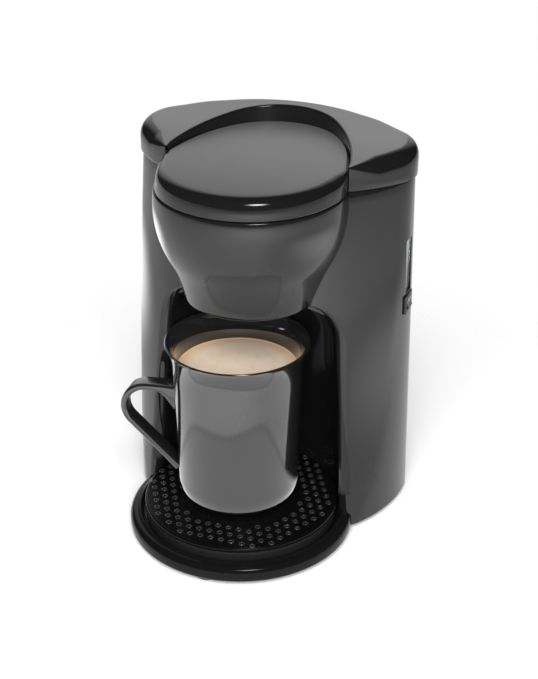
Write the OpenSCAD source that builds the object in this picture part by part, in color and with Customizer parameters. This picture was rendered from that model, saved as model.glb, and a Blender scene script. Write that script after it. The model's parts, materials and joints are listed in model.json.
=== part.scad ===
// Drip coffee maker for one cup, with its mug
//
// A round base ring carries the drip tray, a drafted oval column stands behind it and
// a bulb-shaped brew head leans out over the mug. The lid is one hinged piece that
// covers the brew head and the crescent-shaped water tank behind it.
//
// +Z is up, the front faces -Y and +X is on the right of someone facing the front.
// The origin is the middle of the machine's outline at table height. Millimetres.

/* [Overall] */
// Width of the column at its foot
body_w = 154; // [140:1:186]
// Depth from the front of the base ring to the back of the column
body_d = 158; // [150:1:190]
// Height of the highest point, at the back of the lid
body_h = 210; // [198:1:240]
// Height of the rubber feet
foot_h = 2; // [1:0.5:5]

/* [Column] */
// Wall thickness of the moulded shells
wall = 2.5; // [1.5:0.1:4]
// How far each side of the column moves in between its foot and the parting line
draft = 3; // [0:0.5:5]
// Depth of the column behind its widest line
back_b = 39; // [32:1:46]
// Corner radius of the column's back
side_r = 22; // [16:1:28]
// Angle the front faces lean back, degrees
lean = 7.5; // [2:0.5:12]
// Radius of the front faces
lean_r = 88; // [80:1:100]
// Gap between the base ring's axis and the front faces' axis at table height
lean_off = 75; // [66:1:80]

/* [Cove and base] */
// Radius of the base ring
ring_r = 60.5; // [56:0.5:68]
// Radius of the cove at the drip plate
cove_r = 52.7; // [48:0.1:56]
// Radius of the cove where its arch begins
cove_top_r = 49.8; // [46:0.1:52]
// Radius of the arch that closes the cove
arch_r = 24; // [16:1:28]
// Height of the top of the drip plate
plate_z = 17.4; // [15:0.1:22]
// Diameter of a drip hole
drip_hole_d = 2; // [1.2:0.1:3]
// Spacing of the drip holes
drip_pitch = 5.7; // [4.8:0.1:8]
// Radius of the plain middle of the drip plate
plain_r = 32.5; // [26:0.5:40]

/* [Brew head] */
// Height of the brew head's underside
head_z = 130; // [124:1:146]
// Largest radius of the brew head
head_r = 49.6; // [44:0.1:52]
// Height where the brew head is widest
head_wide_z = 180; // [174:1:184]
// Radius of the head's bulge, seen from the side
bulge_r = 60; // [50:1:70]
// Radius the waist under the head would narrow to
waist_r = 33.3; // [28:0.1:38]
// Height where the waist would be narrowest
waist_z = 113.6; // [100:0.1:120]
// How far the neck behind the head sits back
neck_y = 9; // [4:0.5:14]

/* [Lid] */
// Height of the parting line between the body and the lid
split_z = 188.5; // [182:0.5:194]
// Gap along the parting line
split_gap = 0.4; // [0.2:0.1:1]
// Radius of the disc over the brew head
disc_r = 47.5; // [42:0.5:49]
// Height of the disc above the parting line
disc_h = 11.5; // [9:0.5:14]
// Slope of the crescent's top, degrees
top_slope = 7.1; // [4:0.1:9]
// Half width of the sunk oval in the lid
sunk_a = 49; // [45:0.5:52]
// Half depth of the sunk oval in the lid
sunk_b = 73; // [66:0.5:76]
// Wall thickness of the lid
lid_t = 2.4; // [1.6:0.1:3]
// How far the lid opens, degrees
lid_open = 80; // [60:1:85]

/* [Mug] */
// Diameter of the mug's rim
mug_rim_d = 76; // [66:1:80]
// Height of the mug
mug_h = 90; // [80:1:92]
// Wall thickness of the mug
mug_t = 2.2; // [1.8:0.1:4]
// Width of the mug's handle strap
grip_w = 10; // [8:0.5:14]
// Direction of the mug's handle seen from above, degrees
grip_angle = 190; // [180:1:270]

/* [Fits] */
// Gap between seated pieces of the body
seat_gap = 0.15; // [0.1:0.05:0.3]
// Clearance round a turning pin
pin_gap = 0.05; // [0.02:0.01:0.1]
// Clearance round pieces that lift out
loose_gap = 0.5; // [0.3:0.1:1]

/* [Hidden] */
$fn = 96;
eps = 0.02;
base_z = foot_h;
floor_z = base_z + 2.7;
ring_y = ring_r - body_d / 2;
col_y = body_d / 2 - back_b;
col_a = body_w / 2;
lean_y = ring_y + lean_off;
// back of the column: one wide arc between two corner arcs
back_tangent_r = (col_a * col_a + back_b * back_b - 2 * col_a * side_r) / (2 * (back_b - side_r));
back_r = back_tangent_r - 0.8;
join_dir = (col_a - side_r) / (back_tangent_r - side_r);
back_cy = col_y - (back_r - back_b);
back_top = body_d / 2 - draft;
// brew head profile: a bulge running tangent into a hollow waist
waist_k = waist_r - head_r + bulge_r;
waist_dz = head_wide_z - waist_z;
hollow_r = (waist_k * waist_k + waist_dz * waist_dz - bulge_r * bulge_r) / (2 * (bulge_r - waist_k));
bulge_x = head_r - bulge_r;
hollow_x = waist_r + hollow_r;
tangent_z = head_wide_z - bulge_r * waist_dz / (bulge_r + hollow_r);
// cove
arch_z = head_z + 1.5 - arch_r;
// lid and hinge
lid_z = split_z + split_gap;
disc_top = split_z + disc_h;
knuckle_r = 3.5;
pin_r = 1.5;
ear_r = 2.8;
ear_x = 9.4;
ear_w = 5;
hinge_y = back_top - knuckle_r - 0.2;
hinge_z = lid_z + knuckle_r;
// tank
tank_z = 88;
tank_top = 176;
tank_t = 1.8;
tank_gap = 0.6;
pipe_x = 54;
pipe_y = 48;
// switch and level window, on the right side
side_y = col_y - 5;
switch_z = 120;
side_x = col_a - draft * switch_z / split_z;
rocker_rest = -7;
rocker_throw = 14;
window_z0 = 126.5;
window_z1 = 156;
window_x = col_a - draft * window_z1 / split_z - 2.3;
// heater
heater_z = 34;
heater_len = 80;
bend_r = pipe_x - heater_len / 2;
// filter basket
basket_z = 180.7;
basket_r = head_r - 2.8;
// mug
mug_x = -3.4;
mug_y = ring_y + 5.6;
mug_z = plate_z + 0.2;
// fasteners
screw_r = 1.2;
screw_head_r = 2.4;
boss_x = col_a - 7;

// ---------------------------------------------------------------- shared shapes

// one drafted arc of the column, as a solid cone standing on its centre
module arc_cone(x, y, r, z0, z1) {
  translate([x, y, z0])
    cylinder(r1 = r - draft * z0 / split_z, r2 = r - draft * z1 / split_z, h = z1 - z0);
}

// the column's outline between two heights, grown by g on every side
module column_solid(g, z0, z1) {
  h = z1 - z0;
  join_x = col_a - side_r + (side_r + g - draft / 2) * join_dir;
  intersection() {
    translate([-200, col_y, z0])
      cube([400, 200, h]);
    arc_cone(0, back_cy, back_r + g, z0, z1);
    union() {
      translate([-join_x, col_y - 10, z0])
        cube([2 * join_x, 200, h]);
      for (s = [-1, 1])
        arc_cone(s * (col_a - side_r), col_y, side_r + g, z0, z1);
    }
  }
  intersection() {
    translate([-200, col_y - 200, z0])
      cube([400, 200, h]);
    arc_cone(0, col_y, col_a + g, z0, z1);
    translate([0, lean_y, 0])
      rotate([-lean, 0, 0])
        translate([0, 0, -40])
          cylinder(r = lean_r + g, h = 320);
  }
}

// the round cove the mug stands in, grown by g
module cove_solid(g, z0) {
  translate([0, ring_y, 0])
    rotate_extrude()
      intersection() {
        translate([0, z0])
          square([100, 200]);
        union() {
          polygon([
            [0, z0 - 1], [cove_r + g, z0 - 1], [cove_r + g, plate_z], [cove_top_r + g, arch_z],
            [cove_top_r - arch_r, arch_z + arch_r + g], [0, arch_z + arch_r + g]
          ]);
          translate([cove_top_r - arch_r, arch_z])
            circle(r = arch_r + g);
        }
      }
}

// outline of the brew head seen from the side, grown by g
module head_profile(g, z0, z1) {
  intersection() {
    translate([0, tangent_z])
      square([100, z1 - tangent_z]);
    translate([bulge_x, head_wide_z])
      circle(r = bulge_r + g);
  }
  difference() {
    translate([0, z0])
      square([head_r - 3, tangent_z - z0 + eps]);
    translate([hollow_x, waist_z])
      circle(r = hollow_r - g);
  }
}

module head_solid(g, z0, z1) {
  rotate_extrude()
    head_profile(g, z0, z1);
}

// the head with the neck that joins it to the column
module head_and_neck(g, z0, z1) {
  head_solid(g, z0, z1);
  intersection() {
    translate([0, neck_y, 0])
      head_solid(g - 1.5, z0, z1);
    translate([-60, -60, z0])
      cube([120, 60 + neck_y + 12 + g, z1 - z0]);
  }
}

// oval prism of the sunk part of the lid, grown by g
module sunk_prism(g, z0) {
  r1 = 36;
  r2 = (sunk_b * sunk_b + sunk_a * sunk_a - 2 * sunk_b * r1) / (2 * (sunk_a - r1));
  off = r2 - sunk_a;
  yj = sunk_b - r1 + r1 * (sunk_b - r1) / (r2 - r1) - 0.5;
  translate([0, -5.5, z0]) {
    intersection() {
      translate([off, 0, 0])
        cylinder(r = r2 + g, h = 60);
      translate([-off, 0, 0])
        cylinder(r = r2 + g, h = 60);
      translate([-60, -yj, 0])
        cube([120, 2 * yj, 60]);
    }
    for (s = [-1, 1])
      translate([0, s * (sunk_b - r1), 0])
        cylinder(r = r1 + g, h = 60);
  }
}

// everything below the sloping top of the crescent, lowered by t
module under_slope(t) {
  translate([0, back_top, body_h - t])
    rotate([top_slope, 0, 0])
      translate([-120, -200, -80])
        cube([240, 240, 80]);
}

// tube standing on z0
module tube(ro, ri, z0, z1) {
  translate([0, 0, z0])
    difference() {
      cylinder(r = ro, h = z1 - z0);
      translate([0, 0, -1])
        cylinder(r = ri, h = z1 - z0 + 2);
    }
}

// ---------------------------------------------------------------- base

module base_plate() {
  color("dimgray")
    difference() {
      union() {
        translate([0, ring_y, base_z])
          cylinder(r = ring_r - 2.8, h = wall);
        column_solid(-wall - 0.3, base_z, base_z + wall);
      }
      for (s = [-1, 1]) {
        screw_hole(s * boss_x, col_y + 4);
        screw_hole(s * 36, ring_y - 41.5);
      }
      // cooling slots under the heater
      for (i = [-2 : 2])
        translate([i * 9 - 1.5, 44, base_z - 1])
          cube([3, 18, wall + 2]);
    }
}

module screw_hole(x, y) {
  translate([x, y, base_z - 1])
    cylinder(r = screw_r + 0.2, h = 10);
  translate([x, y, base_z - 1])
    cylinder(r = screw_head_r + 0.2, h = 2.2);
}

module screws() {
  color("silver")
    for (s = [-1, 1]) {
      screw(s * boss_x, col_y + 4);
      screw(s * 36, ring_y - 41.5);
    }
}

module screw(x, y) {
  translate([x, y, base_z + 0.1])
    difference() {
      union() {
        cylinder(r = screw_head_r, h = 1.1);
        cylinder(r = screw_r, h = 6.2);
      }
      translate([-0.4, -1.6, -0.1])
        cube([0.8, 3.2, 0.6]);
    }
}

module feet() {
  color("black") {
    foot(0, ring_y - 50.5);
    for (s = [-1, 1])
      foot(s * 46, 54);
  }
}

module foot(x, y) {
  translate([x, y, 0]) {
    cylinder(r1 = 7.4, r2 = 8, h = 0.6);
    translate([0, 0, 0.6 - eps])
      cylinder(r = 8, h = foot_h - 0.6 + eps);
  }
}

module base_ring() {
  color("#151515")
    difference() {
      union() {
        difference() {
          translate([0, ring_y, 0])
            rotate_extrude()
              ring_profile();
          column_solid(seat_gap, base_z - 1, 30);
        }
        translate([0, ring_y, floor_z])
          cylinder(r = cove_r - 0.3, h = 2);
      }
      for (s = [-1, 1])
        translate([s * 36, ring_y - 41.5, base_z])
          cylinder(r = screw_r + pin_gap, h = 6.6);
    }
}

module ring_profile() {
  polygon([
      [cove_r - 0.5, floor_z], [ring_r - 2.6, floor_z], [ring_r - 2.6, base_z],
      [ring_r - 1.2, base_z], [ring_r, base_z + 1.4], [ring_r, base_z + 4.6],
      [ring_r - 4, base_z + 4.6], [ring_r - 4, base_z + 8.6], [cove_r + 2.1, base_z + 9.8],
      [cove_r + 1.7, base_z + 9.4], [cove_r + 1.7, base_z + 6.5], [cove_r - 0.5, base_z + 6.5]
  ]);
  intersection() {
    translate([ring_r - 4, base_z + 4.6])
      circle(r = 4);
    translate([ring_r - 4 - eps, base_z + 4.6 - eps])
      square(5);
  }
}

module drip_tray() {
  color("#202020")
    translate([0, ring_y, floor_z + 2.1])
      rotate_extrude()
        difference() {
          square([cove_r - 0.9, plate_z - 2.8 - floor_z - 2.1]);
          translate([-1, 1.4])
            square([cove_r - 1.3, 20]);
        }
}

// a disc with a rolled edge, drip holes outside its plain middle
module drip_plate() {
  plate_r = cove_r - loose_gap;
  rows = floor(plate_r / drip_pitch) + 1;
  color("#181818")
    difference() {
      translate([0, ring_y, 0])
        rotate_extrude() {
          translate([0, plate_z - 2.6])
            square([plate_r - 1.3, 2.6]);
          translate([plate_r - 1.3, plate_z - 1.3])
            circle(r = 1.3);
        }
      for (j = [-rows : rows])
        for (i = [-rows : rows]) {
          x = (i + (j % 2 == 0 ? 0 : 0.5) - 0.12) * drip_pitch;
          y = j * drip_pitch * 0.98;
          d = norm([x, y]);
          if (d > plain_r && d < plate_r - 2.2)
            translate([x, ring_y + y, plate_z - 4])
              cylinder(d = drip_hole_d, h = 6);
        }
    }
}

// ---------------------------------------------------------------- column and head

module column_shell() {
  color("#121212")
    difference() {
      union() {
        difference() {
          column_solid(0, base_z, split_z);
          difference() {
            column_solid(-wall, base_z - 1, split_z + 1);
            cove_solid(wall, floor_z);
          }
        }
        // webs the tank stands on
        for (s = [-1, 1])
          difference() {
            intersection() {
              translate([s * 40 - 1.5, 0, tank_z - 5])
                cube([3, 100, 4.9]);
              column_solid(-1, tank_z - 6, tank_z + 1);
            }
            cove_solid(1, floor_z);
          }
        // bosses for the base screws
        for (s = [-1, 1])
          translate([s * boss_x, col_y + 4, floor_z])
            cylinder(r = 4.6, h = 18);
        hinge_ears();
      }
      cove_solid(0, base_z - 1);
      head_and_neck(seat_gap, head_z - 0.1, split_z + 30);
      translate([0, ring_y, base_z - 1])
        cylinder(r = ring_r - 2.5, h = floor_z - base_z + 1);
      for (s = [-1, 1])
        translate([s * boss_x, col_y + 4, base_z])
          cylinder(r = screw_r + pin_gap, h = 7);
      // relief for the lid's back edge as it swings
      translate([-40, hinge_y - 1, split_z - 0.5])
        difference() {
          cube([80, 20, 5]);
          for (s = [-1, 1])
            translate([40 + s * (ear_x + ear_w / 2) - ear_w / 2, -1, -1])
              cube([ear_w, 30, 10]);
        }
      // level window, switch and cord gland openings
      translate([-seat_gap - 1, 0, 0])
        window_block(seat_gap, 12);
      switch_opening();
      translate([0, 60, 18])
        rotate([-90, 0, 0])
          cylinder(r = 5.6, h = 30);
      hinge_bore(pin_r);
    }
}

module hinge_ears() {
  for (s = [-1, 1])
    translate([s * (ear_x + ear_w / 2) - ear_w / 2, 0, 0]) {
      intersection() {
        union() {
          translate([0, hinge_y, hinge_z])
            rotate([0, 90, 0])
              cylinder(r = ear_r, h = ear_w);
          translate([0, hinge_y - ear_r, split_z - 12])
            cube([ear_w, 2 * ear_r, hinge_z - split_z + 12]);
        }
        translate([-s * (ear_x + ear_w / 2) + ear_w / 2, 0, 0])
          column_solid(0, split_z - 20, split_z + 20);
      }
    }
}

module hinge_bore(r) {
  translate([-ear_x - ear_w - 1, hinge_y, hinge_z])
    rotate([0, 90, 0])
      cylinder(r = r, h = 2 * (ear_x + ear_w) + 2);
}

module brew_head() {
  color("#141414")
    difference() {
      head_and_neck(0, head_z, split_z);
      difference() {
        head_solid(-wall, head_z + wall, split_z + 1);
        // ledge the basket's rim rests on
        difference() {
          translate([0, 0, basket_z - 2.8])
            cylinder(r = head_r + 2, h = 2.7);
          translate([0, 0, basket_z - 4])
            cylinder(r = head_r - 6.2, h = 6);
        }
      }
      translate([0, 0, head_z - 1])
        cylinder(r = 6.5, h = 6);
      // step back from the cove's wall
      translate([0, 0, head_z - 1])
        difference() {
          cylinder(r = 70, h = 1);
          translate([0, 0, -1])
            cylinder(r = 1, h = 3);
        }
    }
}

module level_window() {
  color([0.75, 0.8, 0.82, 0.4])
    window_block(0, 1.6);
}

module window_block(g, t) {
  translate([window_x, side_y - 4 - g, window_z0 - g])
    cube([t, 8 + 2 * g, window_z1 - window_z0 + 2 * g]);
}

module switch_opening() {
  translate([side_x - 6, side_y - 5.1, switch_z - 4.1])
    cube([20, 10.2, 8.2]);
  translate([side_x - 0.6, side_y - 6.1, switch_z - 5.1])
    cube([20, 12.2, 10.2]);
}

module switch_body() {
  color("#1c1c1c")
    difference() {
      union() {
        translate([side_x - 15, side_y - 5, switch_z - 4])
          cube([15.2, 10, 8]);
        translate([side_x - 0.5, side_y - 6, switch_z - 5])
          cube([1, 12, 10]);
        for (s = [-1, 1])
          translate([side_x - 20, side_y + s * 2.5 - 0.4, switch_z - 2])
            cube([5.5, 0.8, 4]);
      }
      translate([side_x - 7.5, side_y - 4, switch_z - 3.6])
        cube([20, 8, 7.2]);
      translate([side_x - 2.2, side_y - 4.9, switch_z])
        rotate([-90, 0, 0])
          cylinder(r = 0.8 + pin_gap, h = 9.8);
    }
}

// rocker with its two trunnions, drawn as it rests when switched off
module rocker() {
  color("#080808")
    translate([side_x - 2.2, side_y, switch_z])
      rotate([0, rocker_rest, 0])
        union() {
          translate([0, 3.7, 0])
            rotate([90, 0, 0])
              linear_extrude(height = 7.4)
                polygon([[-3, -2], [1.8, -3], [3.3, -2.9], [2.7, 0], [3.3, 2.9], [1.8, 3], [-3, 2]]);
          translate([0, -4.75, 0])
            rotate([-90, 0, 0])
              cylinder(r = 0.8, h = 9.5);
        }
}

// ---------------------------------------------------------------- lid

module lid() {
  color("#181818")
    difference() {
      union() {
        difference() {
          lid_outside();
          lid_inside();
        }
        // knuckle between the two ears
        translate([-ear_x + 0.4, hinge_y, hinge_z])
          rotate([0, 90, 0])
            cylinder(r = knuckle_r, h = 2 * ear_x - 0.8);
      }
      // openings for the two ears
      for (s = [-1, 1])
        translate([s * (ear_x + ear_w / 2) - ear_w / 2 - 0.3, hinge_y - knuckle_r, lid_z - 1])
          cube([ear_w + 0.6, 20, 2 * knuckle_r + 1]);
      // back edge rounded about the hinge so that it can swing
      difference() {
        translate([-40, hinge_y, lid_z - 1])
          cube([80, 20, knuckle_r + 1]);
        translate([-41, hinge_y, hinge_z])
          rotate([0, 90, 0])
            cylinder(r = knuckle_r, h = 82);
      }
      hinge_bore(pin_r + pin_gap);
    }
}

module lid_outside() {
  difference() {
    intersection() {
      column_solid(0, lid_z, body_h + 10);
      under_slope(0);
    }
    sunk_prism(0, disc_top);
    translate([0, 0, lid_z - 1])
      cylinder(r = disc_r - 1, h = 60);
  }
  rotate_extrude() {
    translate([0, lid_z])
      square([disc_r, disc_top - lid_z - 4]);
    translate([0, lid_z])
      square([disc_r - 4, disc_top - lid_z]);
    translate([disc_r - 4, disc_top - 4])
      circle(r = 4);
  }
}

module lid_inside() {
  difference() {
    intersection() {
      column_solid(-lid_t, lid_z - 1, body_h + 10);
      under_slope(lid_t);
    }
    sunk_prism(lid_t, disc_top - lid_t);
    translate([-60, -120, disc_top - lid_t])
      cube([120, 120 + neck_y, 40]);
  }
  translate([0, 0, lid_z - 1])
    cylinder(r = disc_r - lid_t, h = disc_top - lid_t - lid_z + 1);
}

module lid_pin() {
  color("silver")
    translate([-ear_x - ear_w, hinge_y, hinge_z])
      rotate([0, 90, 0])
        cylinder(r = pin_r, h = 2 * (ear_x + ear_w));
}

// shower under the lid, with the channel that meets the riser when the lid is shut
module spray_head() {
  run = norm([pipe_x, pipe_y]);
  turn = atan2(pipe_y, pipe_x);
  color("#2a2a2a")
    difference() {
      union() {
        translate([0, 0, lid_z + 0.3])
          cylinder(r = 21, h = disc_top - lid_t - lid_z - 0.4);
        rotate([0, 0, turn])
          translate([0, -5, lid_z + 1.5])
            cube([run, 10, disc_top - lid_t - lid_z - 1.6]);
        translate([pipe_x, pipe_y, lid_z + 0.6])
          cylinder(r = 6.5, h = disc_top - lid_t - lid_z - 0.7);
      }
      translate([0, 0, lid_z + 1.9])
        cylinder(r = 19.4, h = disc_top - lid_t - lid_z - 3.6);
      rotate([0, 0, turn])
        translate([8, -3.4, lid_z + 3.1])
          cube([run - 8, 6.8, disc_top - lid_t - lid_z - 4.8]);
      translate([pipe_x, pipe_y, lid_z])
        cylinder(r = 4.6, h = disc_top - lid_t - lid_z - 1.7);
      for (i = [0 : 11])
        rotate([0, 0, i * 30])
          translate([i % 2 == 0 ? 9 : 15, 0, lid_z - 1])
            cylinder(r = 1, h = 4);
    }
}

// ---------------------------------------------------------------- filter

module filter_basket() {
  z0 = head_z + 4.2;
  color("#262626")
    difference() {
      union() {
        translate([0, 0, z0])
          cylinder(r1 = 15, r2 = basket_r - 4, h = basket_z - z0 + 2);
        translate([0, 0, basket_z])
          cylinder(r = basket_r, h = 2);
        translate([0, 0, head_z - 2.5])
          cylinder(r = 5, h = 8);
      }
      translate([0, 0, z0 + 1.8])
        cylinder(r1 = 13.4, r2 = basket_r - 5.6, h = basket_z - z0 + 0.3);
      translate([0, 0, basket_z + 1.9])
        cylinder(r = basket_r - 5.6, h = 1);
      translate([0, 0, head_z - 4])
        cylinder(r = 2.4, h = 12);
    }
}

module filter_frame() {
  ro = basket_r - 5.9;
  color("#303030")
    difference() {
      union() {
        tube(ro, ro - 2, basket_z + 2.2, basket_z + 4.2);
        tube(ro + 3, ro - 2, basket_z + 2.2, basket_z + 3.2);
        translate([-3, -ro, basket_z + 2.2])
          cube([6, 2 * ro, 3.4]);
      }
      translate([-20, -ro + 8, basket_z])
        cube([40, 2 * ro - 16, 10]);
    }
}

module filter_mesh() {
  z0 = head_z + 7;
  z1 = basket_z + 2.1;
  color("goldenrod")
    translate([0, 0, z0])
      difference() {
        cylinder(r1 = 12.6, r2 = basket_r - 6.8, h = z1 - z0);
        translate([0, 0, 0.8])
          cylinder(r1 = 12, r2 = basket_r - 7.4, h = z1 - z0);
      }
}

// ---------------------------------------------------------------- water path

module tank_shape(g) {
  difference() {
    column_solid(-wall - tank_gap - g, tank_z + g, tank_top + g * 4);
    cove_solid(wall + tank_gap + g, 20);
    head_and_neck(tank_gap + g, head_z - 1 - g, split_z + 10);
    // step over the switch
    translate([side_x - 24 - g, side_y - 9 - g, tank_z - 1])
      cube([60, 18 + 2 * g, window_z0 - tank_z - 0.6 + g]);
    // channel for the riser
    translate([pipe_x, pipe_y, tank_z - 1])
      cylinder(r = 6.2 + g, h = 120);
  }
}

module water_tank() {
  color([0.6, 0.62, 0.64, 0.8])
    difference() {
      union() {
        difference() {
          tank_shape(0);
          tank_shape(tank_t);
        }
        translate([-pipe_x, pipe_y, tank_z - 10])
          cylinder(r = 3.4, h = 11);
      }
      translate([-pipe_x, pipe_y, tank_z - 11])
        cylinder(r = 2.4, h = 16);
    }
}

module check_valve() {
  color("white")
    translate([-pipe_x, pipe_y, 0]) {
      tube(6.5, 2.4, 60, 68);
      tube(3.4, 2.4, 54, 60 + eps);
      tube(3.4, 2.4, 68 - eps, 74);
    }
}

// soft hose between two points on the tank side, then round the bend to the heater
module inlet_hose() {
  color("#8a8a86")
    translate([-pipe_x, pipe_y, 0]) {
      tube(5.2, 3.45, 68.2, tank_z - 0.3);
      tube(5.2, 3.45, heater_z + bend_r, 59.8);
      hose_bend(1);
    }
}

module riser_tube() {
  color("#8a8a86")
    translate([pipe_x, pipe_y, 0]) {
      tube(5.2, 3.45, heater_z + bend_r, tank_z - 4);
      tube(4.2, 3.45, tank_z - 4 - eps, lid_z + 0.4);
      hose_bend(-1);
    }
}

// quarter bend from the vertical down to the heater's nipple
module hose_bend(s) {
  translate([s * bend_r, 0, heater_z + bend_r])
    rotate([90, 0, 0])
      rotate([0, 0, s > 0 ? 180 : 270])
        rotate_extrude(angle = 90)
          translate([bend_r, 0])
            difference() {
              circle(r = 5.2);
              circle(r = 3.45);
            }
}

module hose_clips() {
  color("silver")
    for (s = [-1, 1]) {
      translate([s * pipe_x, pipe_y, 0])
        tube(6.2, 5.25, heater_z + bend_r + 1, heater_z + bend_r + 5);
      translate([s * pipe_x, pipe_y, 0])
        tube(6.2, 5.25, 76, 80);
    }
}

// aluminium extrusion: the water way above, the heating rod below
module flow_heater() {
  color("#b8b8b8")
    translate([0, pipe_y, heater_z])
      rotate([0, 90, 0])
        difference() {
          union() {
            translate([0, 0, -heater_len / 2 + 8])
              linear_extrude(height = heater_len - 16) {
                circle(r = 8);
                translate([13, 0])
                  circle(r = 6.5);
                translate([0, -4])
                  square([13, 8]);
                translate([-9.5, -8])
                  square([7, 16]);
              }
            translate([0, 0, -heater_len / 2])
              cylinder(r = 3.4, h = heater_len);
            translate([13, 0, -heater_len / 2 + 1])
              cylinder(r = 3.2, h = heater_len - 2);
          }
          translate([0, 0, -heater_len / 2 - 1])
            cylinder(r = 2.4, h = heater_len + 2);
        }
}

module heater_bracket() {
  color("#9a9a9a")
    for (s = [-1, 1])
      difference() {
        translate([s * 24 - 5, pipe_y - 14, floor_z])
          union() {
            cube([10, 28, 1.2]);
            translate([0, 4, 0])
              cube([10, 20, heater_z - 19.6 - floor_z]);
          }
        translate([s * 24 - 6, pipe_y - 8.8, floor_z + 1.2])
          cube([12, 17.6, heater_z - 22 - floor_z]);
      }
}

module thermostat() {
  color("#c8c0a8")
    translate([12, pipe_y, heater_z + 9.7]) {
      cylinder(r = 7.6, h = 4);
      translate([0, 0, 4 - eps])
        cylinder(r = 5.6, h = 4.5);
      for (s = [-1, 1])
        translate([s * 3.5 - 0.4, -2, 8])
          cube([0.8, 4, 6]);
    }
}

module thermal_fuse() {
  color("#d8d8d0")
    translate([-24, pipe_y, heater_z + 12])
      rotate([0, 90, 0]) {
        cylinder(r = 2.2, h = 12);
        translate([0, 0, -8])
          cylinder(r = 0.5, h = 28);
      }
}

module terminal_block() {
  color("#e6e2d8")
    difference() {
      translate([-12, 60, floor_z])
        cube([24, 8, 10]);
      for (i = [0 : 2])
        translate([-8 + i * 8, 64, floor_z + 3])
          cylinder(r = 1.8, h = 10);
    }
}

module cord_gland() {
  color("black")
    translate([0, 0, 18])
      rotate([-90, 0, 0])
        difference() {
          union() {
            translate([0, 0, body_d / 2 - 8])
              cylinder(r = 5.4, h = 8);
            translate([0, 0, body_d / 2 - 6.5])
              cylinder(r = 7.4, h = 2.8);
          }
          translate([0, 0, body_d / 2 - 12])
            cylinder(r = 3.1, h = 20);
        }
}

// ---------------------------------------------------------------- mug

module mug_outline(g) {
  rim = mug_rim_d / 2;
  waist = rim - 3.8;
  foot = rim - 5.8;
  lip_h = 16;
  flare = (lip_h * lip_h + 3.8 * 3.8) / 7.6;
  polygon([
    [0, 0], [foot - 5, 0], [foot - 2, 1.4], [foot - 0.5, 4.4], [foot, 9],
    [waist, mug_h - lip_h], [0, mug_h - lip_h]
  ]);
  difference() {
    translate([0, mug_h - lip_h - eps])
      square([rim, lip_h + eps]);
    translate([waist + flare, mug_h - lip_h])
      circle(r = flare);
  }
}

module mug_inside() {
  rim = mug_rim_d / 2;
  waist = rim - 3.8 - mug_t;
  foot = rim - 5.8 - mug_t;
  lip_h = 16;
  gain = 3.8 + mug_t - 1.3;
  flare = (lip_h * lip_h + gain * gain) / (2 * gain);
  polygon([
    [0, 4], [foot - 5, 4], [foot - 1, 5.6], [foot, 10],
    [waist, mug_h - lip_h], [0, mug_h - lip_h]
  ]);
  difference() {
    translate([0, mug_h - lip_h - eps])
      square([rim - 1.3, lip_h + 1]);
    translate([waist + flare, mug_h - lip_h])
      circle(r = flare);
  }
}

// strap handle seen from the side: bar, bend and a slanting tail
module grip_outline() {
  cu = mug_rim_d / 2 + 11;
  cv = mug_h - 42.6;
  translate([mug_rim_d / 2 - 6, cv + 10.5])
    square([cu - mug_rim_d / 2 + 6, 4]);
  intersection() {
    translate([cu, cv])
      difference() {
        circle(r = 14.5);
        circle(r = 10.5);
      }
    translate([cu, cv])
      polygon([[0, 0], [0, 30], [40, 30], [40, -30], [27.98, -30]]);
  }
  translate([cu, cv])
    rotate([0, 0, 227])
      translate([0, 10.5])
        square([38.5, 4]);
  // fillet under the bar
  difference() {
    translate([mug_rim_d / 2 - 5.5, cv + 1.5])
      square([10, 9.2]);
    translate([mug_rim_d / 2 + 5, cv])
      circle(r = 10.5);
  }
}

module mug() {
  color("#0c0c0c")
    translate([mug_x, mug_y, mug_z])
      difference() {
        union() {
          rotate_extrude()
            mug_outline(0);
          rotate([0, 0, grip_angle])
            translate([0, grip_w / 2, 0])
              rotate([90, 0, 0])
                linear_extrude(height = grip_w)
                  grip_outline();
        }
        rotate_extrude()
          mug_inside();
      }
}

// ---------------------------------------------------------------- assembly

base_plate();
feet();
base_ring();
drip_tray();
drip_plate();
column_shell();
brew_head();
water_tank();
level_window();
switch_body();
rocker();
lid();
lid_pin();
spray_head();
filter_basket();
filter_frame();
filter_mesh();
check_valve();
inlet_hose();
riser_tube();
hose_clips();
flow_heater();
heater_bracket();
thermostat();
thermal_fuse();
terminal_block();
cord_gland();
screws();
mug();
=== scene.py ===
import bpy
import bmesh
import json
from math import atan2, cos, hypot, pi, radians, sin, sqrt, tan
from mathutils import Matrix, Vector


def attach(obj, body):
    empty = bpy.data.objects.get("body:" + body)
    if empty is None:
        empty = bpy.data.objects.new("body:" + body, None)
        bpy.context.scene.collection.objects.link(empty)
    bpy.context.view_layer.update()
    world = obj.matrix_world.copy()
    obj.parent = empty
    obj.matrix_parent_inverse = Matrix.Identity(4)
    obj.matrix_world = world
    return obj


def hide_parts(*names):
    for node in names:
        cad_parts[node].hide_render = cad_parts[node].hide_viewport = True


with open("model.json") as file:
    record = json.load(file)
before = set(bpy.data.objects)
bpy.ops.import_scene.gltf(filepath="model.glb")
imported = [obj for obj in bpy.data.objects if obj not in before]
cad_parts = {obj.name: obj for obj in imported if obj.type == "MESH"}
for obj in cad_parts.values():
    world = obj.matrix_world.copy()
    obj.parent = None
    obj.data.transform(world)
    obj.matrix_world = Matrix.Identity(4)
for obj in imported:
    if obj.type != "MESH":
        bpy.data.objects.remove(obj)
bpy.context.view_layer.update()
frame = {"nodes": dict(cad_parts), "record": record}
scene = bpy.context.scene
MM = 0.001

# ---------------------------------------------------------------- sizes, in millimetres

WALL = 2.5
BODY_H = 210.0
BACK_TOP = 76.0

# base ring and drip plate
RING_Y = -18.5
PLATE_Z = 17.4

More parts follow.
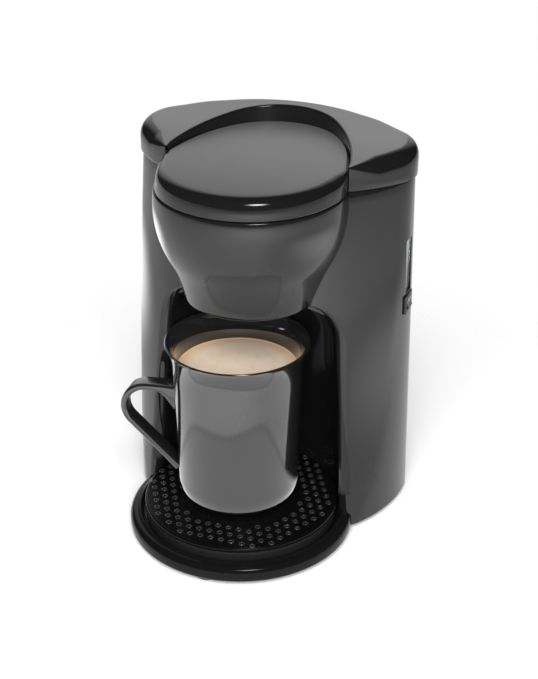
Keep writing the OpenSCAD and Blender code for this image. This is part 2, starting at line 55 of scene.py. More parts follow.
# column: outline, draft, front lean and the cove the mug stands in
COL_Y = 40.0
COL_A = 77.0
BACK_B = 39.0
SIDE_R = 22.0
BACK_R = (COL_A ** 2 + BACK_B ** 2 - 2 * COL_A * SIDE_R) / (2 * (BACK_B - SIDE_R))
BACK_CY = COL_Y + BACK_B - BACK_R
DRAFT = 3.0
SPLIT_Z = 188.5
LEAN = radians(7.5)
LEAN_R = 88.0
LEAN_Y = 56.5
COVE_R = 52.7
COVE_TOP_R = 49.8
COVE_CORNER = 4.6
COVE_END = 131.4
ARCH_R = 24.0
ARCH_Z = 107.5

# openings in the column's right side, and how deep their walls go
WINDOW_Z = (126.35, 156.15)
SWITCH_Z = (114.9, 125.1)
RECESS = 3.2

# brew head: widest part, waist, spout, basket ledge and neck
HEAD_Z = 130.0
HEAD_R, HEAD_WIDE_Z, HEAD_BULGE = 49.6, 180.0, 60.0
WAIST_R, WAIST_Z = 33.3, 113.6
SPOUT_R = 6.5
LEDGE_R, LEDGE_TOP, LEDGE_FOOT = 43.4, 180.6, 177.9
NECK_Y = 9.0
NECK_INSET = 1.5

# hinge: the ears on the column and the knuckle between them
HINGE_Y, HINGE_Z = 72.3, 192.4
EAR_X, EAR_HALF, EAR_R, EAR_FOOT = 11.9, 2.5, 2.8, 176.5
KNUCKLE_R, KNUCKLE_HALF = 3.5, 9.0

# lid: parting line, disc, sunk floor, roof underneath and the sunk oval
LID_Z = 188.9
LID_ROOF = 197.6
SUNK_Z = 199.2
DISC_TOP = 200.0
DISC_R = 47.5
LID_WALL = 2.4
SLOPE = radians(7.1)
SLOPE_LIFT = 0.2
OVAL_A, OVAL_B, OVAL_Y = 49.0, 73.0, -5.5
OVAL_END_R = 36.0
OVAL_SIDE_R = (OVAL_B ** 2 + OVAL_A ** 2 - 2 * OVAL_B * OVAL_END_R) / (2 * (OVAL_A - OVAL_END_R))
OVAL_OFF = OVAL_SIDE_R - OVAL_A
OVAL_CAP = OVAL_B - OVAL_END_R

# where the lid makes room to swing: a slot for each ear and a back edge round the hinge
SLOT_NEAR, SLOT_FAR, SLOT_Y, SLOT_Z = 7.2, 16.6, 68.5, 195.2
SWING_HALF, SWING_R = 42, 3.4

# mug: foot centre, where its wall starts to open out, how tall that part is, and the coffee
MUG = (-3.4, -12.9, 17.6)
FLARE_V, FLARE_H = 74, 16
COFFEE_V = 74.4

# drip holes: pitch in metres, the field's shift and how close its rows are, both in pitches
RIM_PITCH = 0.0057
RIM_SHIFT, RIM_ROWS = 0.12, 0.98


# ---------------------------------------------------------------- mesh helpers

def piece(name, verts, faces, material, body, sharp=35.0):
    """A mesh object from millimetre points, merged, smooth shaded and riding on a body."""
    mesh = bpy.data.meshes.new(name)
    mesh.from_pydata([(x * MM, y * MM, z * MM) for x, y, z in verts], [], faces)
    bm = bmesh.new()
    bm.from_mesh(mesh)
    bmesh.ops.remove_doubles(bm, verts=bm.verts, dist=0.02 * MM)
    bmesh.ops.dissolve_degenerate(bm, dist=0.001 * MM, edges=bm.edges)
    bm.to_mesh(mesh)
    bm.free()
    obj = bpy.data.objects.new(name, mesh)
    scene.collection.objects.link(obj)
    mesh.shade_smooth()
    mesh.set_sharp_from_angle(angle=radians(sharp))
    mesh.materials.append(material)
    obj["body"] = body
    return obj


def strip(rows, faces, verts, close=False, flip=False):
    """Adds quads between rows of points that all have the same length."""
    start = len(verts)
    width = len(rows[0])
    for row in rows:
        verts.extend(row)
    for j in range(len(rows) - 1):
        for i in range(width if close else width - 1):
            a = start + j * width + i
            b = start + j * width + (i + 1) % width
            c = b + width
            d = a + width
            faces.append((a, d, c, b) if flip else (a, b, c, d))


def close_ends(loops, faces, verts):
    """Adds a flat face over the first and the last loop of a closed strip."""
    for loop, turn in ((loops[0], False), (loops[-1], True)):
        start = len(verts)
        verts.extend(loop)
        ids = range(start, start + len(loop))
        faces.append(tuple(reversed(ids)) if turn else tuple(ids))


def mirrored(points):
    return [(-x, y, z) for x, y, z in points]


def arc(cx, cy, r, a0, a1, count):
    """Points along an arc in plan, from one angle to another."""
    angles = [a0 + (a1 - a0) * k / count for k in range(count + 1)]
    return [(cx + r * cos(a), cy + r * sin(a)) for a in angles]


def ease(a, b, value):
    """0 at a, 1 at b, smooth between."""
    u = min(max((value - a) / (b - a), 0.0), 1.0)
    return u * u * (3 - 2 * u)


def along(point, way, distance):
    """A plan point moved by a distance along a direction."""
    return point[0] + way.x * distance, point[1] + way.y * distance


def spaced(points, count):
    """The same path in even steps."""
    run = [0.0]
    for (x0, y0), (x1, y1) in zip(points, points[1:]):
        run.append(run[-1] + hypot(x1 - x0, y1 - y0))
    out = []
    j = 0
    for k in range(count + 1):
        s = run[-1] * k / count
        while j < len(run) - 2 and run[j + 1] < s:
            j += 1
        u = (s - run[j]) / max(run[j + 1] - run[j], 1e-9)
        a, b = points[j], points[j + 1]
        out.append((a[0] + (b[0] - a[0]) * u, a[1] + (b[1] - a[1]) * u))
    return out


def rounded_path(corners, steps):
    """A path of (r, z) points from corners (r, z, fillet radius)."""
    out = []
    n = len(corners)
    for i, (x, z, f) in enumerate(corners):
        if f <= 0 or i in (0, n - 1):
            out.append((x, z))
            continue
        p = Vector((x, z))
        a = Vector(corners[i - 1][:2]) - p
        b = Vector(corners[i + 1][:2]) - p
        la, lb = a.length, b.length
        a.normalize()
        b.normalize()
        half = a.angle(b) / 2
        if half < 0.02 or half > pi / 2 - 0.01:
            out.append((x, z))
            continue
        cut = min(f / tan(half), la * 0.49, lb * 0.49)
        f = cut * tan(half)
        centre = p + (a + b).normalized() * (f / sin(half))
        start = p + a * cut - centre
        sweep = start.angle_signed(p + b * cut - centre)
        for k in range(steps + 1):
            q = centre + Matrix.Rotation(-sweep * k / steps, 2) @ start
            out.append((q.x, q.y))
    return out


def lathe(name, path, material, body, count, centre=(0, 0), sharp=35.0):
    """A turned piece from a closed or axis-to-axis profile of (r, z), facing outwards."""
    area = sum(a[0] * b[1] - b[0] * a[1] for a, b in zip(path, path[1:] + path[:1]))
    closed = path[0][0] > 0.01
    loop = path + [path[0]] if closed else path
    rows = []
    for k in range(count + 1):
        a = radians(360.0 * (k % count) / count)
        rows.append([(centre[0] + r * cos(a), centre[1] + r * sin(a), z) for r, z in loop])
    verts, faces = [], []
    strip(rows, faces, verts, flip=area > 0)
    return piece(name, verts, faces, material, body, sharp=sharp)


# ---------------------------------------------------------------- column outline

def draft_at(z):
    return DRAFT * z / SPLIT_Z


def lean_centre(z):
    return LEAN_Y + z * tan(LEAN)


def cove_at(z):
    """Radius of the cove at a height."""
    if z <= PLATE_Z:
        return COVE_R
    if z <= ARCH_Z:
        return COVE_R + (COVE_TOP_R - COVE_R) * (z - PLATE_Z) / (ARCH_Z - PLATE_Z)
    rise = min(z - ARCH_Z, ARCH_R)
    return COVE_TOP_R - ARCH_R + sqrt(max(ARCH_R ** 2 - rise ** 2, 0.0))


def head_radius(z):
    """Radius of the brew head at a height: a bulging arc above, a hollow one at the waist."""
    k = WAIST_R - HEAD_R + HEAD_BULGE
    rise = HEAD_WIDE_Z - WAIST_Z
    hollow = (k * k + rise * rise - HEAD_BULGE * HEAD_BULGE) / (2 * (HEAD_BULGE - k))
    tangent = HEAD_WIDE_Z - HEAD_BULGE * rise / (HEAD_BULGE + hollow)
    if z >= tangent:
        return HEAD_R - HEAD_BULGE + sqrt(HEAD_BULGE ** 2 - (z - HEAD_WIDE_Z) ** 2)
    return WAIST_R + hollow - sqrt(hollow ** 2 - (z - WAIST_Z) ** 2)


def meet(c1, r1, c2, r2):
    """Where two circles centred on x = 0 cross, on the right side."""
    y = (r1 ** 2 - r2 ** 2 + c2 ** 2 - c1 ** 2) / (2 * (c2 - c1))
    return sqrt(max(r1 ** 2 - (y - c1) ** 2, 0.0)), y


def soft_corner(z):
    return 14.0 + 5.5 * min(z, SPLIT_Z) / SPLIT_Z


def outline(z, grow, end):
    """Right half of the column's outline, from the middle of the back to the end point."""
    t = draft_at(z)
    back = BACK_R - t + grow
    side = SIDE_R - t + grow
    front = COL_A - t + grow
    lean = LEAN_R + grow
    join = atan2(COL_Y - BACK_CY, COL_A - SIDE_R)
    f = soft_corner(z) + grow * 0.8
    fx, fy = meet(COL_Y, front - f, lean_centre(z), lean - f)
    fy = min(fy, COL_Y)
    path = arc(0, BACK_CY, back, pi / 2, join, 30)
    path += arc(COL_A - SIDE_R, COL_Y, side, join, 0.0, 20)[1:]
    a1 = atan2(fy - COL_Y, fx)
    path += arc(0, COL_Y, front, 0.0, a1, 10)[1:]
    a2 = atan2(fy - lean_centre(z), fx)
    path += arc(fx, fy, f, a1, a2, 16)[1:]
    a3 = atan2(end[1] - lean_centre(z), end[0])
    path += arc(0, lean_centre(z), lean, a2, a3, 24)[1:]
    return path


def cove_corner(z):
    """Rounded corner between a front face and the cove: its centre and the two tangent points."""
    r = cove_at(z)
    c = lean_centre(z)
    fx, fy = meet(c, LEAN_R - COVE_CORNER, RING_Y, r + COVE_CORNER)
    out = LEAN_R / (LEAN_R - COVE_CORNER)
    back = r / (r + COVE_CORNER)
    return fx, fy, (fx * out, c + (fy - c) * out), (fx * back, RING_Y + (fy - RING_Y) * back)


def neck_end(z):
    return meet(lean_centre(z), LEAN_R, NECK_Y, head_radius(z) - NECK_INSET - 1.2)


def resample(path, marks, before, after):
    """Same number of points on every outline: even steps, with set y values on the side."""
    def at_y(y):
        for j in range(len(path) - 1):
            if path[j][1] >= y >= path[j + 1][1]:
                u = (path[j][1] - y) / max(path[j][1] - path[j + 1][1], 1e-9)
                return j, (path[j][0] + (path[j + 1][0] - path[j][0]) * u, y)
        return None

    hits = [at_y(y) for y in marks]
    first, last = hits[0], hits[-1]
    head = spaced(path[:first[0] + 1] + [first[1]], before)
    tail = spaced([last[1]] + path[last[0] + 1:], after)
    return head[:-1] + [h[1] for h in hits] + tail[1:]


# ---------------------------------------------------------------- column

# y of the points that the two openings in the side need, and the steps before and after them
MARKS = (44, 42.5, 41.1, 39.15, 37, 35, 33, 30.85, 28.9, 27, 26)
BEFORE, AFTER = 44, 40
BACK_EDGE_Z = 187.9


def heights():
    """Heights of the column's rows, closer together round the arch and at the two openings."""
    low = [2.0, 2.6, 4.0, 8.0, 14.0, PLATE_Z, 30, 45, 60, 75, 90, 100]
    arch = [ARCH_Z + ARCH_R * sin(radians(a)) for a in (0, 8, 16, 30, 36, 46, 56, 66, 75, 84.6)]
    high = [140, 148, 165, 174, 182, BACK_EDGE_Z, 188.3, SPLIT_Z]
    return sorted({*low, *arch, *WINDOW_Z, *SWITCH_Z, *high})


def edge_inset(z):
    """How far the outline draws in at the rounded bottom and top edges."""
    if z < 2.5:
        return -0.5
    if z > 188.4:
        return -0.35
    return -0.1 if z > 188.2 else 0.0


def column_row(z, grow):
    """One row round the column, its top edge let down across the back where the lid swings."""
    end = cove_corner(z)[2] if z <= COVE_END else neck_end(z)
    low = BACK_EDGE_Z + (z - BACK_EDGE_Z) * 0.2 if z > BACK_EDGE_Z else z
    points = resample(outline(z, grow, end), MARKS, BEFORE, AFTER)
    return [(x, y, low if abs(x) < 40 and y > 70 else z) for x, y in points]


def cove_row(z):
    """From the front face round the soft corner and along the cove to its middle."""
    fx, fy, front, back = cove_corner(z)
    a0 = atan2(front[1] - fy, front[0] - fx)
    a1 = atan2(back[1] - fy, back[0] - fx)
    if a1 > a0:
        a1 -= 2 * pi
    row = arc(fx, fy, COVE_CORNER, a0, a1, 10)
    b0 = atan2(back[1] - RING_Y, back[0])
    row += arc(0, RING_Y, cove_at(z), b0, pi / 2, 28)[1:]
    return [(x, y, z) for x, y in row]


def tunnel(loop, shift, faces, verts):
    """Walls from a loop of points inwards, facing the middle of the opening."""
    inner = [(x + shift, y, z) for x, y, z in loop]
    middle = sum((Vector(p) for p in loop), Vector()) / len(loop)
    a, b, c = Vector(loop[0]), Vector(loop[1]), Vector(inner[0])
    inward = (b - a).cross(c - a).dot(middle - a) > 0
    strip([loop, inner], faces, verts, close=True, flip=not inward)


def opening_loop(rows, j0, j1, i0, i1):
    """The points round an opening, once about."""
    loop = [rows[j0][i] for i in range(i0, i1 + 1)]
    loop += [rows[j][i1] for j in range(j0 + 1, j1 + 1)]
    loop += [rows[j1][i] for i in range(i1 - 1, i0 - 1, -1)]
    loop += [rows[j][i0] for j in range(j1 - 1, j0, -1)]
    return loop


def ear(side, faces, verts):
    """One of the two ears that hold the lid's pin, with softened edges."""
    edge = 0.35
    top = [pi * k / 16 for k in range(17)]
    shape = [(HINGE_Y + EAR_R * cos(a), HINGE_Z + EAR_R * sin(a)) for a in top]
    shape = [(HINGE_Y + EAR_R, EAR_FOOT)] + shape + [(HINGE_Y - EAR_R, EAR_FOOT)]
    lo, hi = side * EAR_X - EAR_HALF, side * EAR_X + EAR_HALF
    loops = []
    for x, inset in ((lo, edge), (lo + edge, 0), (hi - edge, 0), (hi, edge)):
        narrow = 1 - inset / EAR_R
        loops.append([(x, HINGE_Y + (y - HINGE_Y) * narrow, z if z < 180 else z - inset * 0.3)
                      for y, z in shape])
    strip(loops, faces, verts, close=True, flip=True)
    close_ends(loops, faces, verts)


def make_column(material):
    """The column: its outer wall, the two openings in the side, the cove and the ears."""
    verts, faces = [], []
    levels = heights()
    lining = [column_row(5.0, -WALL), column_row(2.0, -WALL)]
    rows = lining + [column_row(z, edge_inset(z)) for z in levels]
    rows += [column_row(z, -WALL) for z in (SPLIT_Z, 180, 170, 150, 131.5, 120, 100)]
    width = len(rows[0])
    strip(rows, faces, verts, flip=True)
    gone = set()
    for (z0, z1), i0, i1 in ((WINDOW_Z, 3, 7), (SWITCH_Z, 2, 8)):
        j0, j1 = levels.index(z0) + len(lining), levels.index(z1) + len(lining)
        for j in range(j0, j1):
            for i in range(BEFORE + i0, BEFORE + i1):
                gone.add(j * (width - 1) + i)
        tunnel(opening_loop(rows, j0, j1, BEFORE + i0, BEFORE + i1), -RECESS, faces, verts)
    faces = [f for k, f in enumerate(faces) if k not in gone]
    strip([mirrored(row) for row in rows], faces, verts)
    cove = [cove_row(z) for z in levels if z <= COVE_END]
    strip(cove, faces, verts, flip=True)
    strip([mirrored(row) for row in cove], faces, verts)
    top = cove[-1] + mirrored(reversed(cove[-1][:-1]))
    start = len(verts)
    verts.extend(top)
    faces.append(tuple(range(start, start + len(top))))
    for side in (-1, 1):
        ear(side, faces, verts)
    return piece("column_body", verts, faces, material, "machine", sharp=40)


# ---------------------------------------------------------------- brew head and base ring

def make_bulb(material):
    """The bulb under the lid, with its spout floor and the ledge for the basket."""
    def inside(z):
        return head_radius(z) - WALL

    edge = head_radius(130.9)
    path = [(SPOUT_R, 132.5), (SPOUT_R, HEAD_Z)]
    path += [(edge - 1.6, HEAD_Z), (edge - 0.8, 130.1), (edge - 0.25, 130.4), (edge, 130.9)]
    path += [(head_radius(z), z) for z in range(132, 188, 2)]
    path += [(head_radius(187.9), 187.9), (head_radius(188.2) - 0.1, 188.25)]
    path += [(head_radius(SPLIT_Z) - 0.35, SPLIT_Z), (inside(SPLIT_Z), SPLIT_Z)]
    path += [(inside(LEDGE_TOP), LEDGE_TOP), (LEDGE_R, LEDGE_TOP), (LEDGE_R, LEDGE_FOOT)]
    path += [(inside(z), z) for z in (LEDGE_FOOT, 170, 160, 150, 142, 136, 132.5)]
    return lathe("brew_bulb", path, material, "machine", 180)


def make_neck(material):
    """The neck that runs from the bulb back into the column, one wall on each side."""
    verts, faces = [], []
    levels = [130.3, 132, 136, *range(140, 188, 4), 187.6, 188.2, SPLIT_Z]
    turns = [radians(a) for a in range(-14, 27, 2)]
    for s in (1, -1):
        rows = []
        for z in levels:
            r = head_radius(z) - NECK_INSET - (0.35 if z > 188.3 else 0.1 if z > 188 else 0)
            rows.append([(s * r * cos(a), NECK_Y + r * sin(a), z) for a in turns])
        inner = head_radius(SPLIT_Z) - 1.2
        rows.append([(s * inner * cos(a), 3 + inner * sin(a), 188.45) for a in turns])
        strip(rows, faces, verts, flip=(s < 0))
    return piece("brew_neck", verts, faces, material, "machine")


def make_ring(material):
    """Base ring with its rounded shoulder, the sloping band and the groove round the drip plate."""
    path = [(0.0, 4.7), (57.9, 4.7), (57.9, 2.2)]
    path += rounded_path([(57.9, 2.0, 0), (59.4, 2.0, 0.5), (60.5, 3.3, 0.9), (60.5, 6.6, 0)], 4)[1:]
    path += [(56.5 + 4 * cos(a), 6.6 + 4 * sin(a)) for a in (radians(d) for d in range(9, 82, 9))]
    path += rounded_path([(56.9, 10.58, 0), (56.4, 10.75, 0.3), (54.9, 11.75, 0.35), (54.4, 11.35, 0.2),
                          (54.4, 8.5, 0.3), (52.4, 8.5, 0)], 3)
    path += [(52.4, 6.7), (0.0, 6.7)]
    return lathe("foot_ring", path, material, "machine", 200, (0, RING_Y))


# ---------------------------------------------------------------- lid

def slope_z(y):
    """Height of the crescent's sloping top."""
    return BODY_H + SLOPE_LIFT - tan(SLOPE) * (BACK_TOP - y)


def oval_point(angle, grow=0.0):
    """A point on the sunk oval, built from two wide arcs and two end arcs; angle from +Y towards +X."""
    end, side = OVAL_END_R + grow, OVAL_SIDE_R + grow
    if angle < atan2(OVAL_OFF, OVAL_CAP):
        return end * sin(angle), OVAL_Y + OVAL_CAP + end * cos(angle)
    return -OVAL_OFF + side * sin(angle), OVAL_Y + side * cos(angle)


def oval_path(end_y, count, grow=0.0):
    """Half of the oval from the back middle to a given y, in even steps."""
    points = [oval_point(radians(a * 0.25), grow) for a in range(0, 520)]
    return spaced([p for p in points if p[1] >= end_y], count)


def oval_radius(dx, dy):
    """Distance from the middle of the disc to the sunk oval along a direction, by halving."""
    join = OVAL_SIDE_R * OVAL_CAP / (OVAL_SIDE_R - OVAL_END_R)
    lo, hi = 20.0, 120.0
    for _ in range(30):
        mid = (lo + hi) / 2
        x, y = abs(mid * dx), abs(mid * dy - OVAL_Y)
        if y > join:
            inside = hypot(x, y - OVAL_CAP) <= OVAL_END_R
        else:
            inside = hypot(x + OVAL_OFF, y) <= OVAL_SIDE_R
        lo, hi = (mid, hi) if inside else (lo, mid)
    return lo


def horn_tip():
    """Where the sunk oval meets the front of the column's outline."""
    c = lean_centre(LID_Z)
    best = min((radians(a * 0.1) for a in range(600, 1200)),
               key=lambda a: abs(hypot(oval_point(a)[0], oval_point(a)[1] - c) - LEAN_R))
    return oval_point(best)


def side_normals(points, sign):
    """Unit normals in plan along a path; sign picks the side."""
    out = []
    for k in range(len(points)):
        a, b = points[max(k - 1, 0)], points[min(k + 1, len(points) - 1)]
        t = Vector((b[0] - a[0], b[1] - a[1])).normalized()
        out.append(Vector((t.y, -t.x)) * sign)
    out[0] = Vector((0.0, 1.0 if out[0].y > 0 else -1.0))
    return out


def crescent_section(outer, inner, n_out, n_in, under_out, under_in):
    """One closed section of the lid's crescent, from the sunk floor over the top to the rim."""
    width = max(hypot(outer[0] - inner[0], outer[1] - inner[1]), 0.01)
    # radius of the outer edge, wider towards the sides, and of the edge over the sunk floor
    big = min(3.6 + 4.2 * min(abs(outer[0]) / 60, 1) ** 2, width * 0.5)
    small = min(1.1, width * 0.2)
    section = [(*inner, SUNK_Z)]
    for k in range(5):
        a = radians(22.5 * k)
        x, y = along(inner, n_in, small * (1 - cos(a)))
        section.append((x, y, slope_z(y) - small * (1 - sin(a))))
    start, end = section[-1], along(outer, n_out, big)
    for k in range(1, 6):
        x, y = start[0] + (end[0] - start[0]) * k / 6, start[1] + (end[1] - start[1]) * k / 6
        section.append((x, y, slope_z(y)))
    for k in range(10):
        a = radians(10 * k)
        x, y = along(outer, n_out, big * (1 - sin(a)))
        section.append((x, y, max(slope_z(y) - big * (1 - cos(a)), LID_Z + 0.9)))
    for u, z in ((0.0, 0.6), (0.12, 0.15), (0.5, 0.0)):
        section.append((*along(outer, n_out, min(u, width * 0.3)), LID_Z + z))
    if width > 7.0:
        roof = max(min(slope_z(under_out[1]), slope_z(under_in[1])) - 2.6, 197.7)
        section += [(*under_out, LID_Z), (*under_out, roof - 1), (*along(under_out, n_out, 1), roof),
                    (*under_in, roof), (*under_in, LID_ROOF)]
    else:
        x, y = (outer[0] + inner[0]) / 2, (outer[1] + inner[1]) / 2
        section += [(x, y, z) for z in (LID_Z, LID_Z + 1, LID_Z + 2, 196.0, LID_ROOF)]
    return section + [(*inner, LID_ROOF)]


def swing_clear(section):
    """Round the back edge about the hinge and open it over the two ears, so the crescent can swing."""
    out = []
    for x, y, z in section:
        if SLOT_NEAR < abs(x) < SLOT_FAR and y > SLOT_Y:
            z = max(z, SLOT_Z)
        elif abs(x) < SWING_HALF and y > HINGE_Y and z < HINGE_Z:
            k = min(SWING_R / max(hypot(y - HINGE_Y, z - HINGE_Z), 1e-6), 1.0)
            y, z = HINGE_Y + (y - HINGE_Y) * k, HINGE_Z + (z - HINGE_Z) * k
        out.append((x, y, z))
    return out


def make_crescent(material):
    """The raised crescent behind the disc, hollow underneath."""
    tip = horn_tip()
    count = 90
    outer = spaced(outline(LID_Z, 1.2, tip), count)
    inner = oval_path(tip[1], count)
    under_out = spaced(outline(LID_Z, -LID_WALL, (tip[0] - 1, tip[1] + 2.6)), count)
    under_in = oval_path(tip[1] + 1.5, count, LID_WALL)
    n_out = side_normals(outer, 1)
    n_in = side_normals(inner, -1)
    # no overhang across the back, where the lid swings past the column
    outer = [along(p, n, 0.8 * ease(50, 38, abs(p[0]))) for p, n in zip(outer, n_out)]
    sections = [swing_clear(crescent_section(*parts))
                for parts in zip(outer, inner, n_out, n_in, under_out, under_in)]
    verts, faces = [], []
    strip(sections, faces, verts, close=True)
    strip([mirrored(section) for section in sections], faces, verts, close=True, flip=True)
    return piece("lid_crescent", verts, faces, material, "lid", sharp=50)


def make_disc(material):
    """The disc over the brew head, running back into the sunk floor."""
    rows = []
    steps = 240
    for k in range(steps + 1):
        a = 2 * pi * (k % steps) / steps
        dx, dy = cos(a), sin(a)
        y_edge = DISC_R * dy
        grow = ease(-14, 8, y_edge)
        r = DISC_R + (oval_radius(dx, dy) + 0.15 - DISC_R) * grow
        # edge radius and its drop: full in front, small where the disc meets the sunk floor
        f = 6.2 - 2.2 * ease(-6, 10, y_edge) - 3.6 * ease(8, 45, y_edge)
        drop = f + (min(f, 2.0) - f) * ease(-4, 9, y_edge)
        low = LID_ROOF if y_edge > 9.0 else LID_Z
        profile = [(0.0, DISC_TOP)] + [((r - f) * u, DISC_TOP) for u in (0.25, 0.5, 0.75, 0.9)]
        for q in range(9):
            e = radians(90 * q / 8)
            profile.append((r - f + f * sin(e), DISC_TOP - drop * (1 - cos(e))))
        rim = r + 0.8 * (1 - grow)
        profile += [(rim, low + 0.6), (rim - 0.12, low + 0.15), (rim - 0.5, low)]
        profile += [(r - LID_WALL, low), (r - LID_WALL, LID_ROOF), (r * 0.5, LID_ROOF), (0.0, LID_ROOF)]
        rows.append([(w * dx, w * dy, z) for w, z in profile])
    verts, faces = [], []
    strip(rows, faces, verts)
    return piece("lid_disc", verts, faces, material, "lid", sharp=50)


def make_knuckle(material):
    """The knuckle between the ears."""
    edge = 0.4
    loops = []
    for x, inset in ((-KNUCKLE_HALF, edge), (edge - KNUCKLE_HALF, 0), (KNUCKLE_HALF - edge, 0),
                     (KNUCKLE_HALF, edge)):
        r = KNUCKLE_R - inset
        loops.append([(x, HINGE_Y + r * cos(a), HINGE_Z + r * sin(a))
                      for a in (2 * pi * k / 40 for k in range(40))])
    verts, faces = [], []
    strip(loops, faces, verts, close=True, flip=True)
    close_ends(loops, faces, verts)
    return piece("lid_knuckle", verts, faces, material, "lid")


# ---------------------------------------------------------------- mug

def flare(v, spread):
    """How far the cup's wall has opened out at a height, given its spread at the mouth."""
    r = (FLARE_H ** 2 + spread ** 2) / (2 * spread)
    return r - sqrt(r ** 2 - (v - FLARE_V) ** 2)


def mug_outer(v):
    """Outer radius of the cup at a height above its foot."""
    if v <= 9:
        return 32.2 - 0.7 * ((9 - v) / 9) ** 2
    if v <= FLARE_V:
        return 32.2 + 2.0 * (v - 9) / 65
    return 34.2 + flare(v, 3.8)


def mug_inner(v):
    """Inner radius of the cup at a height above its foot."""
    if v <= FLARE_V:
        return 30.0 + 2.0 * (max(v, 10) - 10) / 64
    return 32.0 + flare(v, 4.7)


def make_cup(glaze):
    """The cup, turned in one profile from the middle of its foot over the lip to its floor."""
    foot = [(0.0, 1.3), (25.2, 1.3), (26.0, 0.9), (26.3, 0.25), (27.0, 0.0), (28.4, 0.0), (29.3, 0.35),
            (30.2, 1.4), (31.0, 3.2), (31.6, 5.4)]
    wall = (7.5, 10, 16, 24, 34, 44, 54, 64, 72, 75, 78, 80, 82, 84, 86, 87.6, 88.7)
    lip = [(37.98, 89.4), (37.85, 89.75), (37.55, 89.97), (37.25, 90.0), (36.95, 89.9), (36.7, 89.6)]
    lining = (89, 88, 86, 84, 82, 80, 78, 76, 74, 64, 50, 36, 22, 12)
    floor = [(29.9, 9.6), (29.3, 6.6), (28.0, 5.0), (25.5, 4.2), (20.0, 4.0), (0.0, 4.0)]
    path = foot + [(mug_outer(v), v) for v in wall] + lip + [(mug_inner(v), v) for v in lining] + floor
    return lathe("mug_cup", [(r, v + MUG[2]) for r, v in path], glaze, "mug", 160, MUG[:2], 60)


def make_grip(glaze):
    """Strap handle: bar, bend and slanting tail."""
    x0, y0, z0 = MUG
    bend_u, bend_v, bend_r, bend_end = 49, 47.4, 12.5, -43
    bar = [(32.7 + 1.63 * k, 59.9) for k in range(11)]
    bend = [(bend_u + bend_r * cos(radians(a)), bend_v + bend_r * sin(radians(a)))
            for a in range(84, bend_end, -6)]
    tail_u = bend_u + bend_r * cos(radians(bend_end))
    tail_v = bend_v + bend_r * sin(radians(bend_end))
    tail = [(tail_u - 0.682 * s, tail_v - 0.731 * s)
            for s in (0, 3, 6, 10, 14, 18, 22, 26, 29, 32, 34, 36, 37.4)]
    centre = bar + bend + tail
    rows = []
    turn = radians(190)
    for k, (u, v) in enumerate(centre):
        before, after = centre[max(k - 1, 0)], centre[min(k + 1, len(centre) - 1)]
        t = Vector((after[0] - before[0], after[1] - before[1])).normalized()
        n = Vector((-t.y, t.x))
        # the strap thickens where it leaves the cup and a little where it comes back
        root = min(max(0.0, 1 - (u - 34.2) / 9.5), 1.0) if k < len(bar) else 0.0
        foot = max(0.0, 1 - (len(centre) - 1 - k) / 4.0)
        row = []
        for q in range(28):
            a = 2 * pi * q / 28
            ca, sa = cos(a), sin(a)
            w = 5.0 * abs(ca) ** 0.45 * (1 if ca >= 0 else -1) * (1 + 0.18 * root ** 2)
            h = 2.0 * abs(sa) ** 0.6 * (1 if sa >= 0 else -1)
            if h < 0:
                h *= 1 + 5.6 * root ** 1.6
            h *= 1 + 0.25 * foot
            uu, vv = along((u, v), n, h)
            row.append((x0 + uu * cos(turn) - w * sin(turn), y0 + uu * sin(turn) + w * cos(turn), z0 + vv))
        rows.append(row)
    verts, faces = [], []
    strip(rows, faces, verts, close=True, flip=True)
    close_ends(rows, faces, verts)
    return piece("mug_grip", verts, faces, glaze, "mug", sharp=70)


def make_coffee(coffee):
    """The coffee, with its raised edge where it wets the wall."""
    r = mug_inner(COFFEE_V) - 0.05
    top = MUG[2] + COFFEE_V
    path = [(0.0, top - 3.0), (r - 1.0, top - 3.0), (r, top + 0.35), (r - 0.25, top + 0.3),
            (r - 0.6, top + 0.1), (r - 1.2, top), (r * 0.7, top), (r * 0.4, top), (0.0, top)]
    return lathe("coffee", path, coffee, "mug", 96, MUG[:2], 70)


# ---------------------------------------------------------------- node helpers

# numbers of the Mix node's two inputs and its output, by what it mixes
MIX_SOCKETS = {"FLOAT": (2, 3, 0), "RGBA": (6, 7, 2)}


def feed(tree, inputs, *pairs):
    """Gives each input a link from a socket, or a plain value."""
    for label, value in pairs:
        if isinstance(value, bpy.types.NodeSocket):
            tree.links.new(value, inputs[label])
        else:
            inputs[label].default_value = value


def math_node(tree, operation, *values, clamp=False):
    node = tree.nodes.new("ShaderNodeMath")
    node.operation = operation
    node.use_clamp = clamp
    feed(tree, node.inputs, *enumerate(values))
    return node.outputs[0]


def vector_node(tree, operation, *values):
    node = tree.nodes.new("ShaderNodeVectorMath")
    node.operation = operation
    feed(tree, node.inputs, *enumerate(values))
    return node.outputs["Vector" if operation == "DIVIDE" else "Value"]


def range_node(tree, value, from_low, from_high, to_low=0.0, to_high=1.0, shape="LINEAR"):
    """A value carried from one range to another and held at the ends."""
    node = tree.nodes.new("ShaderNodeMapRange")
    node.interpolation_type = shape
    feed(tree, node.inputs, ("Value", value), ("From Min", from_low), ("From Max", from_high),
         ("To Min", to_low), ("To Max", to_high))
    return node.outputs[0]


def mix_node(tree, factor, a, b, kind="RGBA"):
    node = tree.nodes.new("ShaderNodeMix")
    node.data_type = kind
    first, second, result = MIX_SOCKETS[kind]
    feed(tree, node.inputs, ("Factor", factor), (first, a), (second, b))
    return node.outputs[result]


def noise_node(tree, vector, scale, detail, rough=0.5):
    node = tree.nodes.new("ShaderNodeTexNoise")
    feed(tree, node.inputs, ("Vector", vector), ("Scale", scale), ("Detail", detail), ("Roughness", rough))
    return node.outputs["Fac"]


